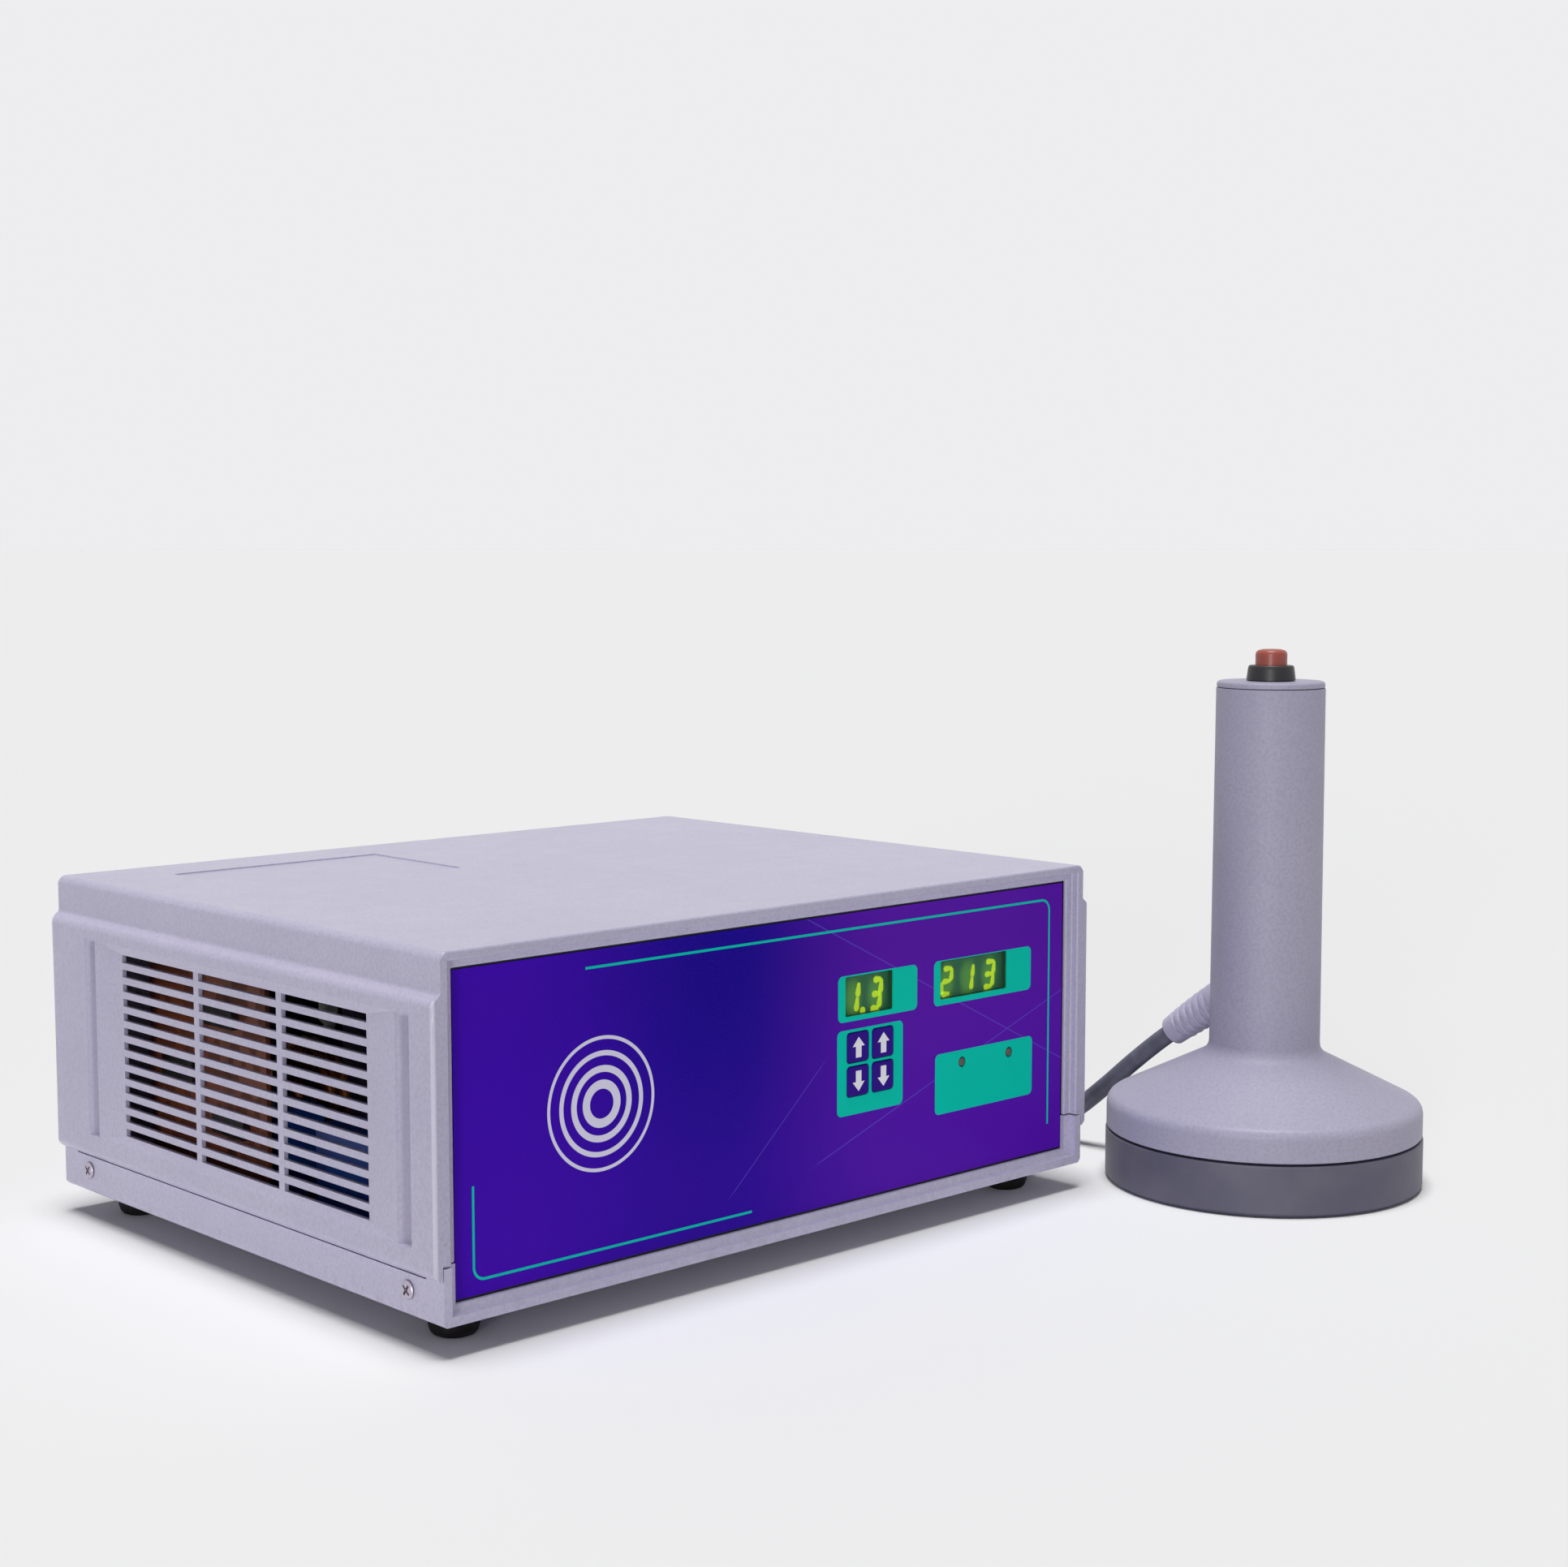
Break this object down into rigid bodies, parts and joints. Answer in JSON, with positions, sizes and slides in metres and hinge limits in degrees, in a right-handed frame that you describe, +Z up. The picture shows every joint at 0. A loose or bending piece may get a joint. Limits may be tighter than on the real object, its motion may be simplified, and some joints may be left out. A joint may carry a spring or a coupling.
{
  "type": "hand-held induction cap sealing machine",
  "caption": "Bench power unit with a vented plastic case and a blue control panel, cabled to an upright sealing head with a coil cup and a push button.",
  "frame": {"origin": "on the floor, in the middle of the box round the power unit and the head, the cable left out", "axes": "+X to the right as seen from the unit's front panel, +Y from the front panel to the rear panel, +Z up"},
  "size_m": [0.406, 0.4325, 0.1971],
  "materials": {
    "housing_plastic": "fine satin texture",
    "black_plastic": "satin",
    "foot_rubber": "matt",
    "screw_steel": "zinc plated",
    "panel_film": "printed film, satin",
    "green_window": "clear tinted",
    "display_module": "satin",
    "lamp_lens": "clear tinted",
    "key_film": "satin",
    "circuit_board": "resin laminate",
    "rocker_red": "satin",
    "aluminium_fins": "extruded",
    "blue_case": "satin",
    "black_can": "sleeved",
    "ferrite_black": "sintered",
    "copper_wire": "enamelled",
    "terminal_green": "satin",
    "cup_plastic": "satin",
    "button_red": "satin",
    "cable_jacket": "matt"
  },
  "bodies": {
    "base": {"top_cover": "housing_plastic", "bottom_tray": "housing_plastic", "rear_panel": "housing_plastic", "head_shell": "housing_plastic", "handle_cap": "housing_plastic", "head_cable_boot": "housing_plastic", "unit_cable_boot": "housing_plastic", "front_plate": "black_plastic", "power_switch_frame": "black_plastic", "mains_inlet": "black_plastic", "fuse_holder": "black_plastic", "fuse_cap": "black_plastic", "fan_frame": "black_plastic", "button_bush": "black_plastic", "trigger_switch": "black_plastic", "bridge_rectifier": "black_plastic", "foot_front_left": "foot_rubber", "foot_front_right": "foot_rubber", "foot_rear_left": "foot_rubber", "foot_rear_right": "foot_rubber", "case_screw_front_left": "screw_steel", "case_screw_front_right": "screw_steel", "case_screw_rear_left": "screw_steel", "case_screw_rear_right": "screw_steel", "panel_overlay": "panel_film", "time_window": "green_window", "voltage_window": "green_window", "time_display": "display_module", "voltage_display": "display_module", "ready_lamp": "lamp_lens", "heating_lamp": "lamp_lens", "control_board": "circuit_board", "power_board": "circuit_board", "driver_board": "circuit_board", "heat_sink_left": "aluminium_fins", "heat_sink_right": "aluminium_fins", "film_capacitor_front": "blue_case", "film_capacitor_rear": "blue_case", "round_capacitor_left": "black_can", "round_capacitor_right": "black_can", "transformer_core": "ferrite_black", "ferrite_bar_1": "ferrite_black", "ferrite_bar_2": "ferrite_black", "ferrite_bar_3": "ferrite_black", "ferrite_bar_4": "ferrite_black", "transformer_winding": "copper_wire", "choke": "copper_wire", "induction_coil": "copper_wire", "terminal_block": "terminal_green", "coil_cup": "cup_plastic", "cord_at_unit": "cable_jacket", "cord_to_head": "cable_jacket", "cord_coil": "cable_jacket"},
    "trigger": {"trigger_button": "button_red"},
    "power_rocker": {"power_rocker": "rocker_red"},
    "fan_rotor": {"fan_rotor": "black_plastic"},
    "time_up_key": {"time_up_key": "key_film"},
    "time_down_key": {"time_down_key": "key_film"},
    "voltage_up_key": {"voltage_up_key": "key_film"},
    "voltage_down_key": {"voltage_down_key": "key_film"}
  },
  "joints": [
    {"name": "trigger_slide", "type": "slide", "parent": "base", "child": "trigger", "axis": [0, 0, -1], "range_m": [0, 0.003], "stiffness_N_per_m": 500, "springref_m": -0.002},
    {"name": "power_rocker_tilt", "type": "hinge", "parent": "base", "child": "power_rocker", "pos_m": [-0.018, 0.1474, 0.0735], "axis": [1, 0, 0], "range_deg": [-18, 0]},
    {"name": "fan_spin", "type": "hinge", "parent": "base", "child": "fan_rotor", "pos_m": [-0.128, 0.1408, 0.065], "axis": [0, 1, 0], "continuous": true},
    {"name": "time_up_key_press", "type": "slide", "parent": "base", "child": "time_up_key", "axis": [0, 1, 0], "range_m": [0, 0.0005], "stiffness_N_per_m": 2500, "springref_m": -0.0004},
    {"name": "time_down_key_press", "type": "slide", "parent": "base", "child": "time_down_key", "axis": [0, 1, 0], "range_m": [0, 0.0005], "stiffness_N_per_m": 2500, "springref_m": -0.0004},
    {"name": "voltage_up_key_press", "type": "slide", "parent": "base", "child": "voltage_up_key", "axis": [0, 1, 0], "range_m": [0, 0.0005], "stiffness_N_per_m": 2500, "springref_m": -0.0004},
    {"name": "voltage_down_key_press", "type": "slide", "parent": "base", "child": "voltage_down_key", "axis": [0, 1, 0], "range_m": [0, 0.0005], "stiffness_N_per_m": 2500, "springref_m": -0.0004}
  ]
}
